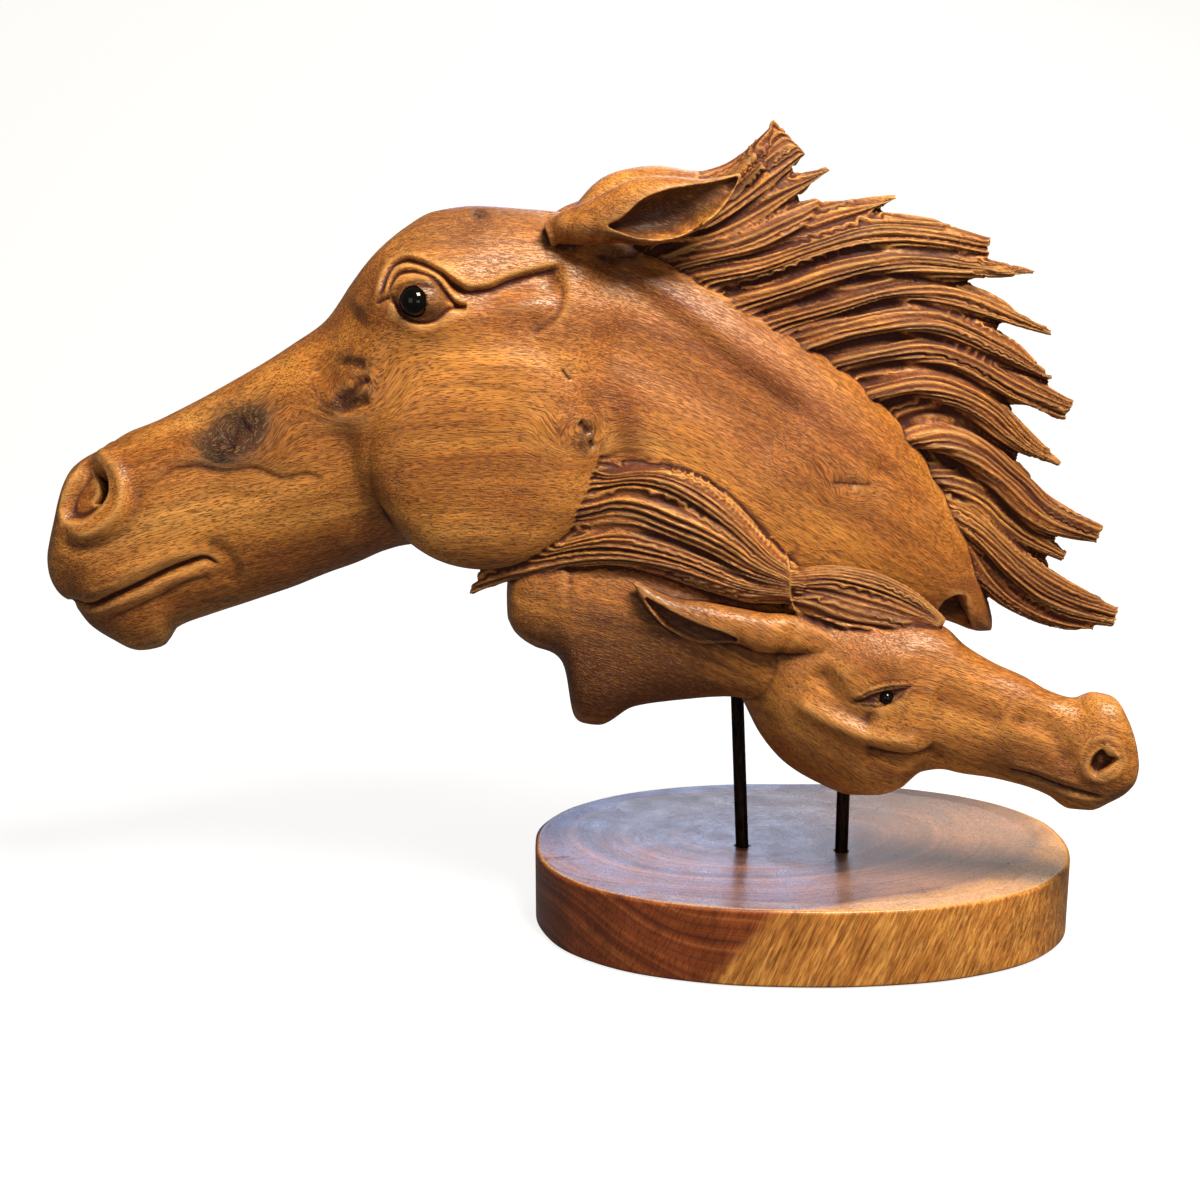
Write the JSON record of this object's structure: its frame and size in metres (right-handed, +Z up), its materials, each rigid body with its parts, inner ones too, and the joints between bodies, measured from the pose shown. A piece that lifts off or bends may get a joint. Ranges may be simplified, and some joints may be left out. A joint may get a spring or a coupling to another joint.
{
  "type": "carved wooden horse head sculpture",
  "caption": "Carved wooden horse head with a flying mane and a foal's head below it, held by two steel rods over an oval wooden base.",
  "frame": {"origin": "centre of the base's flat underside", "axes": "+Z up, +X to the right of the near side, the way the foal looks, +Y away from the near side"},
  "size_m": [0.4829, 0.16, 0.3627],
  "materials": {
    "carved_wood": "oiled, satin",
    "base_wood": "polished, gloss",
    "blackened_steel": "satin black",
    "black_bead": "gloss"
  },
  "bodies": {
    "root": {"carved_horses": "carved_wood", "base": "base_wood", "rod_left": "blackened_steel", "rod_right": "blackened_steel", "horse_eye_near": "black_bead", "horse_eye_far": "black_bead", "foal_eye_near": "black_bead", "foal_eye_far": "black_bead"}
  },
  "joints": []
}
